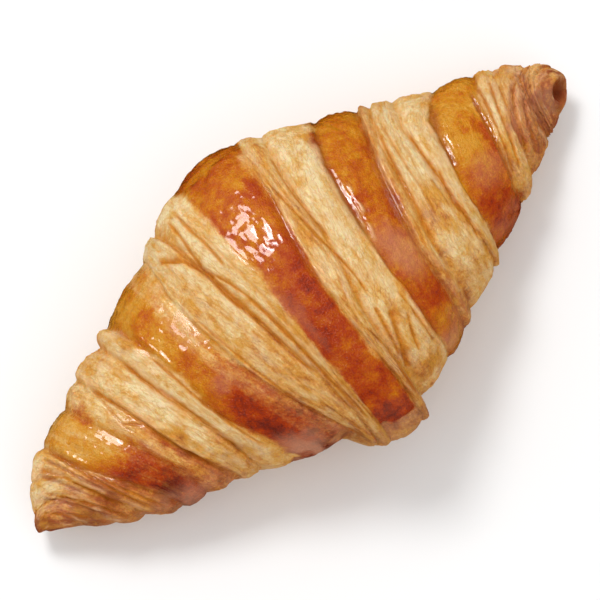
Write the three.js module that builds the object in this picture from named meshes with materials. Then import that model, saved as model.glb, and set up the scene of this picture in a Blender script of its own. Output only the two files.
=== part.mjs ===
// A straight butter croissant, rolled from one triangle of laminated dough.
// It lies along X on its flat underside, with its front towards -Y and +Z up. Units are millimetres.
// Every layer line fans out over the back and closes up towards the front, where the triangle's
// narrow end comes down as a raised strap and tucks under.
import * as THREE from 'three';

// Driving sizes of the roll
const middleRadius = 38.2;
const taper = 0.445;
const middleRounding = 15;
const crestBase = 4.2;
const crestPerRadius = 1.346;
const girthShare = 0.44;
const underTuck = 1.2;
const tipLift = 3.0;
const tipLiftFrom = 52;

// The middle line leans back a little along the body, and more at the tips
const bodyLean = { by: 0.6, from: 10, to: 35 };
const tipLean = { by: 0.8, from: 60, to: 76 };

// How the section goes from a round top to a squarer underside
const roundTop = 2.1;
const squareUnder = 3.0;

// Layer lines from left to right. at: place along the roll on the back flank, half way up it, on the
// crest, half way down the front flank and on it. rise: height over the smooth roll on the back
// flank, the crest and the front flank.
const lines = {
  leftTip: { at: [-84.4, -84.4, -84.4, -84.4, -84.4], rise: [0, 0, 0] },
  leftNub: { at: [-81.0, -79.1, -76.3, -73.4, -69.8], rise: [-1.7, -0.8, 0.7] },
  leftRing: { at: [-77.1, -74.3, -71.6, -68.0, -62.8], rise: [-0.6, -0.3, 0] },
  outerGlazeLeft: { at: [-71.5, -69.6, -67.1, -61.6, -54.9], rise: [-0.3, -0.2, 1.8] },
  outerPaleLeft: { at: [-61.7, -59.2, -56.1, -51.9, -48.0], rise: [0.3, 0.2, 0.4] },
  secondEdgeLeft: { at: [-54.5, -52.2, -49.2, -46.2, -39.4], rise: [0.8, -0.2, -1.6] },
  secondFoldLeft: { at: [-45.3, -43.6, -41.1, -38.1, -34.6], rise: [-1.2, -1.2, -2.4] },
  secondGlazeLeft: { at: [-41.1, -38.1, -36.0, -33.9, -27.0], rise: [-1.0, -1, -0.9] },
  topEdgeLeft: { at: [-23.8, -25.3, -24.5, -20.8, -12.6], rise: [-2.0, -1, -2.4] },
  topFoldLeft: { at: [-18.2, -15.9, -14.3, -11.9, -9.7], rise: [-0.8, -0.6, -1] },
  topGlazeLeft: { at: [-8.0, -8.2, -7.0, -7.8, -7.1], rise: [1.2, 0.4, 0.4] },
  topGlazeRight: { at: [11.2, 7.2, 2.6, 1.8, 2.2], rise: [1.9, 0.5, 1.5] },
  topFoldRight: { at: [17.5, 12.2, 9.7, 5.1, 4.8], rise: [1.2, 0.3, 1.0] },
  topEdgeRight: { at: [29.5, 22.3, 18.5, 16.8, 16.3], rise: [-0.6, -0.3, 1.1] },
  secondGlazeRight: { at: [40.2, 34.5, 29.5, 26.0, 25.1], rise: [-0.7, -0.6, 1.4] },
  secondRimRight: { at: [43.5, 36.8, 33.4, 29.6, 29.4], rise: [-0.2, -0.4, 0.6] },
  secondFoldRight: { at: [48.9, 43.8, 42.2, 41.0, 41.2], rise: [-0.2, -0.4, 0.9] },
  secondEdgeRight: { at: [58.2, 50.7, 47.7, 44.9, 44.0], rise: [-0.7, -0.7, -0.6] },
  outerGlazeRight: { at: [69.1, 65.0, 62.0, 59.1, 57.3], rise: [0.2, -0.5, 0.5] },
  rightRing: { at: [73.6, 70.6, 67.8, 64.8, 63.6], rise: [-0.2, -0.5, -0.2] },
  rightNub: { at: [78.6, 77.0, 75.2, 73.4, 73.4], rise: [-1.2, -1.2, -0.9] },
  rightTip: { at: [83.5, 83.5, 83.5, 83.5, 83.5], rise: [0, 0, 0] },
};

// Steps down from a layer's edge to the layer below: heights on the back, the crest and the front
const edges = [
  { line: 'topEdgeLeft', inner: 1, height: [0.7, 1.2, 1.5] },
  { line: 'topEdgeRight', inner: -1, height: [1.0, 1.3, 0.5] },
  { line: 'secondEdgeLeft', inner: 1, height: [1.6, 1.5, 1.4] },
  { line: 'secondFoldLeft', inner: 1, height: [1.7, 0.3, 0.2] },
  { line: 'secondEdgeRight', inner: -1, height: [1.0, 1.3, 1.2] },
  { line: 'leftRing', inner: 1, height: [0.8, 0.9, 0.8] },
  { line: 'leftNub', inner: 1, height: [0.7, 0.7, 0.6] },
  { line: 'rightRing', inner: -1, height: [0.9, 0.9, 1.0] },
  { line: 'rightNub', inner: -1, height: [0.8, 0.9, 1.2] },
];
const edgeSoftness = 0.45;
const edgeReach = 3.0;

// Grooves where folds of one layer part: depths on the back, the crest and the front
const grooves = [
  { line: 'topFoldLeft', width: 1.2, depth: [1.0, 1.1, 0.3] },
  { line: 'topFoldRight', width: 1.1, depth: [0.6, 0.9, 0.6] },
  { line: 'topGlazeRight', width: 0.9, depth: [0.2, 0.6, 0.2] },
  { line: 'secondGlazeLeft', width: 1.0, depth: [0.3, 0.4, 0.6] },
  { line: 'secondFoldLeft', width: 1.1, depth: [0.5, 1.0, 0.6] },
  { line: 'secondGlazeRight', width: 1.1, depth: [0.5, 0.9, 0.5] },
  { line: 'secondRimRight', width: 1.1, depth: [0.6, 0.9, 0.7] },
  { line: 'secondFoldRight', width: 1.1, depth: [0.6, 0.8, 0.8] },
  { line: 'outerPaleLeft', width: 1.2, depth: [0.3, 0.4, 0.5] },
  { line: 'outerGlazeLeft', width: 1.1, depth: [0.6, 0.8, 0.8] },
  { line: 'outerGlazeRight', width: 1.0, depth: [0.3, 0.6, 0.8] },
];

// The strap at the front: the last of the triangle, raised above its neighbours
const strap = {
  rise: 3.9,
  from: 30,
  full: 88,
  end: 166,
  fade: 14,
  left: { line: 'topEdgeLeft', by: 5.0, width: 2.6 },
  right: { line: 'topFoldRight', by: -0.5, width: 0.9 },
};

// Slight swell of each layer between its lines, and the unevenness of a hand-rolled piece
const swell = 0.5;
const unevenness = 0.25;

// The ends: a rounded cap with a hollow where the roll's spiral shows, each bent a little
const capLeft = { from: -70, reach: 14.4, power: 1.9, hollow: 1.3 };
const capRight = { from: 76.1, reach: 7.4, power: 2.5, hollow: 2.4 };
const bendLeft = { from: -71, angle: 0.9, towards: [-0.97, -0.24], over: 13.4 };
const bendRight = { from: 71, angle: 1.15, towards: [-0.72, 0.69], over: 13 };
const hollowRadius = 4.2;

// Mesh density
const roundSteps = 60;
const spacing = 2.7;
const edgeOffsets = [-0.75, 0.75];
const capSteps = 6;

const names = Object.keys(lines);
const crest = names.map((name) => lines[name].at[2]);
const leftEnd = crest[0];
const rightEnd = crest[crest.length - 1];

function smooth(from, to, value) {
  const t = Math.min(1, Math.max(0, (value - from) / (to - from)));
  return t * t * (3 - 2 * t);
}

// A value given on the back flank, the crest and the front flank, at any angle round the roll
function around([back, top, front], turn) {
  const s = Math.sin(turn);
  return top + (s * (front - back)) / 2 + s * s * ((front + back) / 2 - top);
}

// The same for five values, with a smooth curve through them
function aroundFive(five, turn) {
  const place = (Math.sin(turn) + 1) * 2;
  const k = Math.min(3, Math.floor(place));
  const t = place - k;
  const slope = (j) => {
    if (j === 0) return five[1] - five[0];
    if (j === 4) return five[4] - five[3];
    return (five[j + 1] - five[j - 1]) / 2;
  };
  const whole = t * t * (3 - 2 * t);
  const bent = t * (1 - t) * ((1 - t) * slope(k) - t * slope(k + 1));
  return five[k] + (five[k + 1] - five[k]) * whole + bent;
}

// The two lines on either side of p, a place on the crest, and how far p is between them
function between(p) {
  let k = 1;
  while (k < crest.length - 1 && p > crest[k]) k += 1;
  const t = (p - crest[k - 1]) / (crest[k] - crest[k - 1]);
  return { before: lines[names[k - 1]], after: lines[names[k]], t };
}

// Where the layer line that crosses the crest at p lies along the length, at an angle round the roll
function along(p, turn) {
  const { before, after, t } = between(p);
  return aroundFive(before.at, turn) * (1 - t) + aroundFive(after.at, turn) * t;
}

function riseRelief(p, turn) {
  const { before, after, t } = between(p);
  const eased = smooth(0, 1, t);
  return around(before.rise, turn) * (1 - eased) + around(after.rise, turn) * eased;
}

// Radius of the smooth roll at a place along its length, rounded off at both ends
function rollRadius(x) {
  let radius = middleRadius - taper * (Math.sqrt(x * x + middleRounding ** 2) - middleRounding);
  for (const { from, reach, power } of [capLeft, capRight]) {
    const past = Math.min(1, Math.max(0, ((x - from) * Math.sign(from)) / reach));
    radius *= Math.pow(1 - Math.pow(past, power), 1 / power);
  }
  return radius;
}

// How much the pressed underside keeps of a relief
function exposed(turn) {
  return 0.2 + 0.8 * smooth(-0.75, 0.1, Math.cos(turn));
}

function edgeRelief(p, turn) {
  let height = 0;
  for (const { line, inner, height: rise } of edges) {
    const d = (p - lines[line].at[2]) * inner;
    height += around(rise, turn) * 0.5 * Math.tanh(d / edgeSoftness) * Math.exp(-Math.abs(d) / edgeReach);
  }
  return height;
}

function grooveRelief(p, turn) {
  let height = 0;
  for (const { line, width, depth } of grooves) {
    const d = (p - lines[line].at[2]) / width;
    height -= around(depth, turn) * Math.exp(-d * d);
  }
  return height;
}

function swellRelief(p) {
  return swell * (Math.sin(Math.PI * between(p).t) - 0.5);
}

// The strap stands between the top layer's left edge and its right fold, and grows towards the front
function strapRelief(p, turn) {
  const degrees = THREE.MathUtils.radToDeg(turn);
  const grown = smooth(strap.from, strap.full, degrees);
  const kept = 1 - smooth(strap.end - strap.fade, strap.end, degrees);
  const leftEdge = lines[strap.left.line].at[2] + strap.left.by;
  const rightEdge = lines[strap.right.line].at[2] + strap.right.by;
  const left = 0.5 * (1 + Math.tanh((p - leftEdge) / strap.left.width));
  const right = 0.5 * (1 - Math.tanh((p - rightEdge) / strap.right.width));
  return strap.rise * grown * kept * left * right;
}

function unevenRelief(x, turn) {
  const a = Math.sin(x * 0.11 + 2 * turn + 0.6);
  const b = Math.sin(x * 0.23 - 3 * turn + 2.1);
  const c = Math.sin(x * 0.05 + turn * 4 + 4.0);
  return unevenness * (a + b + c);
}

function leanBack(x) {
  const body = bodyLean.by * smooth(bodyLean.from, bodyLean.to, Math.abs(x));
  return body + tipLean.by * smooth(tipLean.from, tipLean.to, Math.abs(x));
}

// Turns the last of an end about its start, towards a direction across the roll
function bendEnd(point, { from, angle, towards, over }) {
  const side = Math.sign(from);
  const past = (point.x - from) * side;
  if (past <= 0) return point;
  const share = Math.min(1, past / over);
  const turned = angle * share * share;
  const [ty, tz] = towards;
  const pivotZ = (crestBase + crestPerRadius * rollRadius(from)) * girthShare;
  const across = point.y * ty + (point.z - pivotZ) * tz;
  const nearer = across * (Math.cos(turned) - 1) + past * Math.sin(turned) * 0.5;
  point.y += ty * nearer;
  point.z += tz * nearer;
  point.x -= side * across * Math.sin(turned);
  return point;
}

function surfacePoint(p, turn) {
  const x = along(p, turn);
  const base = rollRadius(x);
  const fade = exposed(turn) * Math.min(1, base / 9);
  let relief = edgeRelief(p, turn) + grooveRelief(p, turn) + swellRelief(p) + riseRelief(p, turn);
  relief = relief * fade + strapRelief(p, turn) + unevenRelief(x, turn) * fade;
  const crestZ = crestBase * Math.min(1, base / 12) + crestPerRadius * base;
  const middleZ = crestZ * girthShare;
  const sine = Math.sin(turn);
  const cosine = Math.cos(turn);
  const power = cosine > 0 ? roundTop : squareUnder;
  const unit = Math.pow(Math.abs(sine) ** power + Math.abs(cosine) ** power, -1 / power);
  const up = cosine > 0 ? crestZ - middleZ : middleZ + underTuck;
  const lift = tipLift * smooth(tipLiftFrom, 84, Math.abs(x));
  const middle = middleZ + lift + (12 - Math.min(12, base)) * 0.45;
  const y = -(base + relief) * unit * sine + leanBack(x);
  const z = middle + (up + relief) * unit * cosine;
  return new THREE.Vector3(x, y, z);
}

// A hollow in the middle of an end, where the rolled layers show
function endHollow(point, p) {
  const cap = p < 0 ? capLeft : capRight;
  const inside = 1 - smooth(0.2, 1, rollRadius(p) / hollowRadius);
  point.x -= Math.sign(p) * cap.hollow * inside;
  return point;
}

function place(p, turn) {
  let point = endHollow(surfacePoint(p, turn), p);
  point = bendEnd(point, bendLeft);
  point = bendEnd(point, bendRight);
  point.z = Math.max(0, point.z);
  return point;
}

// Places of the rings of vertices: close together at every edge, and closer towards the ends
function ringPlaces() {
  const places = [];
  const first = capLeft.from;
  const last = capRight.from;
  for (let k = 1; k < capSteps; k += 1) {
    const share = Math.sin((k / capSteps) * (Math.PI / 2));
    places.push(first + (leftEnd - first) * share);
    places.push(last + (rightEnd - last) * share);
  }
  const marks = crest.filter((p) => p > first && p < last);
  for (const mark of marks) {
    for (const offset of edgeOffsets) places.push(mark + offset);
  }
  const bounds = [first, ...marks, last];
  for (let k = 1; k < bounds.length; k += 1) {
    const start = bounds[k - 1] + edgeOffsets[1];
    const finish = bounds[k] + edgeOffsets[0];
    const parts = Math.max(1, Math.round((finish - start) / spacing));
    for (let j = 1; j < parts; j += 1) places.push(start + ((finish - start) * j) / parts);
  }
  return places.sort((a, b) => a - b);
}

// Puts the origin on the surface the roll rests on, under the middle of its box
function centreOnBase(geometry) {
  geometry.computeBoundingBox();
  const { min, max } = geometry.boundingBox;
  geometry.translate(-(min.x + max.x) / 2, -(min.y + max.y) / 2, -min.z);
}

function croissantGeometry() {
  const places = ringPlaces();
  const positions = [];
  const indices = [];
  for (const p of places) {
    for (let j = 0; j < roundSteps; j += 1) {
      const turn = ((j + 0.5) / roundSteps) * 2 * Math.PI - Math.PI;
      positions.push(...place(p, turn).toArray());
    }
  }
  const at = (ring, j) => ring * roundSteps + (j % roundSteps);
  for (let ring = 0; ring < places.length - 1; ring += 1) {
    for (let j = 0; j < roundSteps; j += 1) {
      indices.push(at(ring, j), at(ring, j + 1), at(ring + 1, j + 1));
      indices.push(at(ring, j), at(ring + 1, j + 1), at(ring + 1, j));
    }
  }
  const ends = [
    { ring: 0, p: leftEnd, flip: false },
    { ring: places.length - 1, p: rightEnd, flip: true },
  ];
  for (const { ring, p, flip } of ends) {
    const pole = positions.length / 3;
    positions.push(...place(p, 0).toArray());
    for (let j = 0; j < roundSteps; j += 1) {
      const pair = flip ? [at(ring, j), at(ring, j + 1)] : [at(ring, j + 1), at(ring, j)];
      indices.push(pole, ...pair);
    }
  }
  const geometry = new THREE.BufferGeometry();
  geometry.setAttribute('position', new THREE.Float32BufferAttribute(positions, 3));
  geometry.setIndex(indices);
  centreOnBase(geometry);
  geometry.computeVertexNormals();
  return geometry;
}

const crust = new THREE.MeshStandardMaterial({ color: 0xd49a4f, roughness: 0.5, metalness: 0 });
const croissant = new THREE.Mesh(croissantGeometry(), crust);
croissant.name = 'croissant';

const group = new THREE.Group();
group.add(croissant);

export default group;
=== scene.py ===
import math

import bmesh
import bpy
import numpy as np
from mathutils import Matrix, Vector


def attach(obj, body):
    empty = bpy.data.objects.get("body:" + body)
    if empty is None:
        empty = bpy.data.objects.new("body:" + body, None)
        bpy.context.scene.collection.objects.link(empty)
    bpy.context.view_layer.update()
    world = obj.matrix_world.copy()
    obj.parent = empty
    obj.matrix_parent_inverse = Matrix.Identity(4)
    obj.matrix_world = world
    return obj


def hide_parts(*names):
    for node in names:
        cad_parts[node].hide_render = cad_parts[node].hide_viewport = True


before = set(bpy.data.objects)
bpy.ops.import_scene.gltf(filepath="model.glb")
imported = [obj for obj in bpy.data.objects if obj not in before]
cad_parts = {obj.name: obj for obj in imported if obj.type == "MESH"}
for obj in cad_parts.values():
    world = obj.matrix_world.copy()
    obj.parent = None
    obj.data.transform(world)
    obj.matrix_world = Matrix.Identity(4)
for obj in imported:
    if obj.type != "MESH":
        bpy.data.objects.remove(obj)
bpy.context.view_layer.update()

# A straight butter croissant seen from nearly overhead. +X runs along the roll, -Y is its front.
mm = 0.001
print("frame loaded")

# camera: where the photograph was taken from
cameraPlace = {
    "azimuth": -40.8,  # degrees, so that the roll lies from lower left to upper right
    "elevation": 82.0,  # nearly overhead
    "lens": 150.0,
    "sensor": 36.0,
    "distance": 0.602,
    "lookAt": (-1.56, -1.83, 28.0),  # mm from the roll's own middle
}


def addCamera(place):
    data = bpy.data.cameras.new("camera")
    data.lens = place["lens"]
    data.sensor_width = place["sensor"]
    camera = bpy.data.objects.new("camera", data)
    bpy.context.scene.collection.objects.link(camera)
    azimuth = math.radians(place["azimuth"])
    elevation = math.radians(place["elevation"])
    flat = math.cos(elevation)
    back = Vector((math.sin(azimuth) * flat, -math.cos(azimuth) * flat, math.sin(elevation)))
    camera.location = Vector((np.array(place["lookAt"]) + shift) * mm) + back * place["distance"]
    camera.rotation_euler = (math.pi / 2 - elevation, 0, azimuth)
    bpy.context.scene.camera = camera
    return camera


# the roll's main form, in millimetres, as the solid has it
roll = {
    "middleRadius": 38.2,
    "taper": 0.445,
    "middleRounding": 15.0,
    "crestBase": 4.2,
    "crestPerRadius": 1.346,
    "girthShare": 0.44,
    "underTuck": 1.2,
    "tipLift": 3.0,
    "tipLiftFrom": 52.0,
    "roundTop": 2.1,
    "squareUnder": 3.0,
    "swell": 0.9,
    "unevenness": 0.25,
    "capLeft": {"from": -70.0, "reach": 14.4, "power": 1.9, "hollow": 1.3},
    "capRight": {"from": 76.1, "reach": 7.4, "power": 2.5, "hollow": 2.4},
    "bendLeft": {"from": -71.0, "angle": 0.9, "towards": (-0.97, -0.24), "over": 13.4},
    "bendRight": {"from": 71.0, "angle": 1.15, "towards": (-0.72, 0.69), "over": 13.0},
    "hollowRadius": 4.2,
}
# the middle line of the roll leans back a little, and its tips lean back more
lean = {"body": 0.6, "bodyFrom": 10.0, "bodyTo": 35.0, "tips": 0.8, "tipsFrom": 60.0, "tipsTo": 76.0}

# layer lines from left to right: places along the roll on the back flank, half way up it, on the crest,
# half way down the front flank and on it, and heights over the smooth roll on the back flank, the crest
# and the front flank
lines = {
    "leftTip": ((-84.4, -84.4, -84.4, -84.4, -84.4), (0, 0, 0)),
    "leftNub": ((-81.0, -79.1, -76.3, -73.4, -69.8), (-1.7, -0.8, 0.7)),
    "leftRing": ((-77.1, -74.3, -71.6, -68.0, -62.8), (-0.6, -0.3, 0)),
    "outerGlazeLeft": ((-71.5, -69.6, -67.1, -61.6, -54.9), (-0.3, -0.2, 1.8)),
    "outerPaleLeft": ((-61.7, -59.2, -56.1, -51.9, -48.0), (0.3, 0.2, 0.4)),
    "secondEdgeLeft": ((-54.5, -52.2, -49.2, -46.2, -39.4), (0.8, -0.2, -1.6)),
    "secondFoldLeft": ((-45.3, -43.6, -41.1, -38.1, -34.6), (-1.2, -1.2, -2.4)),
    "secondGlazeLeft": ((-41.1, -38.1, -36.0, -33.9, -27.0), (-1.0, -1, -0.9)),
    "topEdgeLeft": ((-23.8, -25.3, -24.5, -20.8, -12.6), (-2.0, -1, -2.4)),
    "topFoldLeft": ((-18.2, -15.9, -14.3, -11.9, -9.7), (-0.8, -0.6, -1)),
    "topGlazeLeft": ((-8.0, -8.2, -7.0, -7.8, -7.1), (1.2, 0.4, 0.4)),
    "topGlazeRight": ((11.2, 7.2, 2.6, 1.8, 2.2), (1.9, 0.5, 1.5)),
    "topFoldRight": ((17.5, 12.2, 9.7, 5.1, 4.8), (1.2, 0.3, 1.0)),
    "topEdgeRight": ((29.5, 22.3, 18.5, 16.8, 16.3), (-0.6, -0.3, 1.1)),
    "secondGlazeRight": ((40.2, 34.5, 29.5, 26.0, 25.1), (-0.7, -0.6, 1.4)),
    "secondRimRight": ((43.5, 36.8, 33.4, 29.6, 29.4), (-0.2, -0.4, 0.6)),
    "secondFoldRight": ((48.9, 43.8, 42.2, 41.0, 41.2), (-0.2, -0.4, 0.9)),
    "secondEdgeRight": ((58.2, 50.7, 47.7, 44.9, 44.0), (-0.7, -0.7, -0.6)),
    "outerGlazeRight": ((69.1, 65.0, 62.0, 59.1, 57.3), (0.2, -0.5, 0.5)),
    "rightRing": ((73.6, 70.6, 67.8, 64.8, 63.6), (-0.2, -0.5, -0.2)),
    "rightNub": ((78.6, 77.0, 75.2, 73.4, 73.4), (-1.2, -1.2, -0.9)),
    "rightTip": ((83.5, 83.5, 83.5, 83.5, 83.5), (0, 0, 0)),
}

# steps down from the edges of layers towards the tips: heights on the back, the crest and the front
edges = {
    "topEdgeLeft": (0.7, 1.2, 1.5),
    "topEdgeRight": (1.0, 1.3, 0.5),
    "secondEdgeLeft": (1.6, 1.5, 1.4),
    "secondFoldLeft": (1.7, 0.3, 0.2),
    "secondEdgeRight": (1.0, 1.3, 1.2),
    "leftRing": (0.8, 0.9, 0.8),
    "leftNub": (0.7, 0.7, 0.6),
    "rightRing": (0.9, 0.9, 1.0),
    "rightNub": (0.8, 0.9, 1.2),
}
# how softly they step, how far they reach, and how far the edge hangs over, in millimetres
edgeShape = {"softness": 0.5, "reach": 3.0, "overhang": 0.12}

# grooves where folds of one layer part: width, and depths on the back, the crest and the front
grooves = {
    "topFoldLeft": (0.91, (0.51, 0.7, 0.2)),
    "topFoldRight": (0.91, (0.38, 0.58, 0.38)),
    "topGlazeRight": (0.65, (0.13, 0.38, 0.13)),
    "secondGlazeLeft": (0.78, (0.2, 0.26, 0.38)),
    "secondFoldLeft": (0.91, (0.32, 0.64, 0.38)),
    "secondGlazeRight": (0.91, (0.32, 0.58, 0.32)),
    "secondRimRight": (0.91, (0.38, 0.58, 0.44)),
    "secondFoldRight": (0.91, (0.38, 0.51, 0.51)),
    "outerPaleLeft": (1.04, (0.2, 0.26, 0.32)),
    "outerGlazeLeft": (0.91, (0.38, 0.51, 0.51)),
    "outerGlazeRight": (0.91, (0.2, 0.38, 0.51)),
}

# the strap at the front: the last of the dough triangle, raised above its neighbours
strap = {
    "rise": 3.9,
    "from": 30.0,  # degrees round the roll
    "full": 88.0,
    "end": 166.0,
    "fade": 14.0,
    "left": {"line": "topEdgeLeft", "by": 5.0, "width": 2.6},
    "right": {"line": "topFoldRight", "by": -0.5, "width": 0.9},
}

# folds, tears, welts, raised rims with a painted glint, and burnt lines seen from above: depth and width
# in millimetres, and a path in the photograph's pixels, along the roll from its middle and towards its
# front
pixelsPerMm = 4.15
marks = {"fold": [
    (0.63, 0.45, [(-64, -90), (-59, -72), (-60, -50), (-57, -30), (-53, -12), (-51, 10), (-47, 45),
                  (-41, 80)]),
    (0.63, 0.49, [(-62, -80), (-50, -54), (-44, -32), (-40, 0), (-38, 25), (-36, 60), (-34, 100),
                  (-34, 140)]),
    (0.35, 0.41, [(-72, -130), (-69, -118), (-67, -100), (-61, -78)]),
    (0.49, 0.41, [(-57, -142), (-56, -120), (-59, -100), (-60, -76)]),
    (0.35, 0.45, [(-46, -148), (-45, -120), (-41, -90), (-42, -60)]),
    (0.24, 0.35, [(-38, -120), (-37, -80), (-33, -40), (-31, 0), (-31, 50)]),
    (0.35, 0.31, [(-99, -60), (-95, -25), (-91, 0), (-86, 30), (-79, 60), (-72, 90), (-60, 120)]),
    (0.18, 0.31, [(-70, 62), (-58, 78), (-48, 100), (-42, 128)]),
    (0.18, 0.31, [(-74, 78), (-62, 90), (-52, 112), (-46, 138)]),
    (0.14, 0.31, [(-50, 70), (-44, 90), (-39, 118)]),
    (0.18, 0.31, [(-78, 55), (-66, 58), (-54, 68), (-46, 84)]),
    (0.42, 0.35, [(46, -125), (45, -95), (47, -60), (48, -30), (51, 0), (51, 35), (46, 62)]),
    (0.35, 0.35, [(66, -134), (62, -112), (57, -85), (56, -50), (55, -10)]),
    (0.24, 0.31, [(54, -128), (53, -100), (52, -70), (53, -40)]),
    (0.24, 0.31, [(41, -70), (42, -40), (44, -10), (43, 25)]),
    (0.42, 0.35, [(23, 60), (28, 88), (28, 110), (25, 130), (20, 160)]),
    (0.28, 0.31, [(17, 100), (17, 130), (15, 160)]),
    (0.36, 0.6, [(168, -82), (160, -58), (152, -30), (147, 0), (138, 30), (130, 62)]),
    (0.42, 0.41, [(187, -62), (183, -30), (181, 0), (177, 30), (174, 60), (168, 88)]),
    (0.28, 0.35, [(173, -85), (168, -60), (163, -30), (160, 0), (152, 40)]),
    (0.4, 0.4, [(186, -6), (180, 12), (175, 32), (173, 52)]),
    (0.54, 0.35, [(262, -46), (255, -18), (248, 12), (239, 44), (224, 76)]),
    (0.43, 0.31, [(272, -48), (265, -18), (252, 22), (234, 62)]),
    (0.54, 0.35, [(286, -44), (271, -10), (262, 20), (246, 54)]),
    (0.54, 0.35, [(318, -22), (298, -18), (284, 0), (272, 26), (262, 48)]),
    (0.54, 0.31, [(316, -8), (300, -2), (286, 18), (276, 42)]),
    (0.63, 0.45, [(-223, -70), (-219, -50), (-211, -28), (-204, -4), (-199, 20), (-189, 50),
                  (-175, 84), (-162, 108)]),
    (0.42, 0.35, [(-221, -14), (-212, -6), (-205, 2)]),
    (0.28, 0.31, [(-222, -66), (-220, -40), (-221, -14), (-216, 4)]),
    (0.45, 0.38, [(-183, -76), (-180, -50), (-175, -28), (-165, 2), (-158, 32), (-152, 60), (-145, 92)]),
    (0.35, 0.35, [(-160, -62), (-152, -20), (-147, 20), (-139, 52), (-131, 84), (-121, 108)]),
    (0.24, 0.31, [(-190, 30), (-186, 55), (-176, 80), (-160, 104)]),
    (0.87, 0.45, [(-313, -34), (-300, -18), (-290, 6), (-274, 46)]),
    (0.65, 0.35, [(-326, -16), (-306, 8), (-290, 34), (-270, 66)]),
    (0.65, 0.35, [(-296, -46), (-286, -20), (-276, 10), (-264, 42), (-247, 74)]),
    (0.43, 0.31, [(-270, 10), (-262, 34), (-250, 58), (-238, 80)]),
    (0.43, 0.31, [(-338, 0), (-322, 16), (-300, 40)]),
    (0.35, 0.26, [(-33, 62), (-32, 100), (-31, 150)]),
    (0.3, 0.26, [(-28, 70), (-28, 110), (-27, 158)]),
    (0.35, 0.3, [(-66, 104), (-56, 128), (-44, 156)]),
    (0.3, 0.26, [(-58, 92), (-50, 120), (-40, 158)]),
    (0.4, 0.3, [(68, 84), (58, 104), (50, 128)]),
    (0.4, 0.3, [(74, 60), (72, 96), (68, 132)]),
], "tear": [
    (0.71, 0.66, [(-93, -113), (-80, -108), (-69, -97), (-61, -78), (-56, -60)]),
    (0.84, 0.72, [(57, 71), (50, 88), (41, 110), (30, 132)]),
    (0.56, 0.45, [(46, 58), (42, 80), (37, 100), (32, 118)]),
], "welt": [
    (0.49, 0.66, [(-97, -112), (-94, -124), (-84, -131), (-75, -126), (-70, -112), (-67, -99)]),
    (0.35, 0.46, [(-62, 50), (-50, 53), (-43, 58), (-40, 64)]),
    (0.6, 0.7, [(-153, -72), (-150, -46), (-145, -20)]),
    (0.6, 0.8, [(-286, -32), (-279, -18), (-271, -2)]),
], "rimGlint": [
    (0.38, 0.42, [(35, -56), (31, -38), (28, -20), (24, 0), (22, 30), (20, 62), (19, 80)]),
    (0.28, 0.28, [(33, -55), (30, -20), (29, 5), (26, 30)]),
    (0.42, 0.42, [(106, -52), (103, -34), (100, -18), (94, 0), (88, 14)]),
    (0.28, 0.28, [(98, -38), (95, -20), (90, -4)]),
    (0.42, 0.46, [(150, -60), (142, -36), (137, -14), (130, 12), (124, 40)]),
    (0.35, 0.36, [(209, -18), (206, -4), (202, 10)]),
    (0.4, 0.42, [(192, -12), (186, 6), (180, 22), (176, 40)]),
    (0.3, 0.36, [(312, -18), (298, -10), (286, 4), (276, 24)]),
    (0.3, 0.36, [(322, -6), (308, 2), (298, 16)]),
], "scorchAndHoleShade": [
    (0.17, 0.9, [(113, -120), (106, -100), (101, -78), (97, -58), (94, -38), (90, -18), (86, 10)]),
    (0.21, 0.78, [(225, -53), (214, -42), (206, -26), (203, -6), (196, 12)]),
    (0.1, 0.9, [(311, 4), (300, 16), (291, 30)]),
    (0.3, 0.4, [(306, -24), (290, -14), (278, 6), (266, 32)]),
    (0.3, 0.36, [(320, -14), (304, -8), (290, 8), (282, 28)]),
    (0.1, 0.9, [(281, 38), (276, 45), (270, 50)]),
    (0.35, 0.42, [(-318, -32), (-306, -14), (-294, 10), (-276, 48)]),
    (0.3, 0.36, [(-332, -14), (-316, 2), (-298, 30), (-282, 56)]),
    (0.3, 0.36, [(-304, -42), (-294, -22), (-284, 6), (-266, 46)]),
    (0.25, 0.42, [(-344, 4), (-332, 16), (-314, 32)]),
]}
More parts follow.
